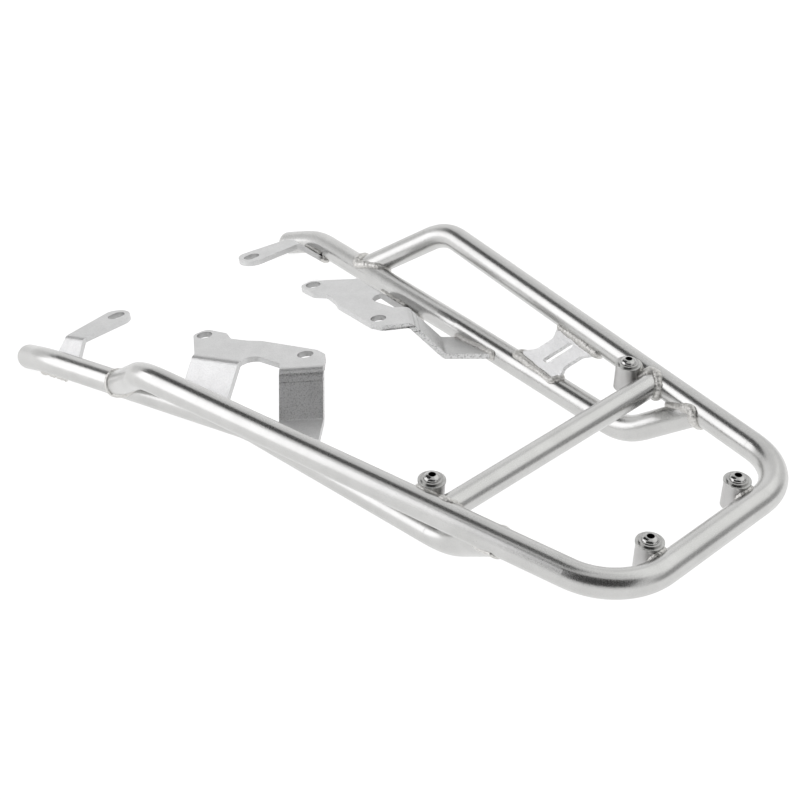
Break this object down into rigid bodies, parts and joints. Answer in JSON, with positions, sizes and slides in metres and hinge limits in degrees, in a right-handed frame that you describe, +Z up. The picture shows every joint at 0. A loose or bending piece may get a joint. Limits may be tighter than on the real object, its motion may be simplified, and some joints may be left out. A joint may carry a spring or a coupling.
{
  "type": "motorbike top case rack",
  "caption": "Welded tube rack with a tapering upper loop, a crossbar, bent side tubes, folded mounting brackets and screwed bosses for a top case plate.",
  "frame": {"origin": "middle of the rear bar of the upper loop, on its axis", "axes": "+Y to the front of the bike, +X to its right, +Z up; the rails of the upper loop lie in the plane z = 0"},
  "size_m": [0.2982, 0.5311, 0.0938],
  "materials": {
    "tube": "satin silver",
    "sheet": "satin silver",
    "boss": "satin silver",
    "washer": "bright",
    "screw": "bright"
  },
  "bodies": {
    "root": {"upper_loop": "tube", "crossbar": "tube", "left_side_tube": "tube", "right_side_tube": "tube", "left_front_tab": "sheet", "right_front_tab": "sheet", "left_mid_bracket": "sheet", "right_mid_bracket": "sheet", "left_link_plate": "sheet", "right_link_plate": "sheet", "left_front_boss": "boss", "right_front_boss": "boss", "left_rear_boss": "boss", "right_rear_boss": "boss", "left_front_washer": "washer", "right_front_washer": "washer", "left_rear_washer": "washer", "right_rear_washer": "washer", "left_front_screw": "screw", "right_front_screw": "screw", "left_rear_screw": "screw", "right_rear_screw": "screw"}
  },
  "joints": []
}
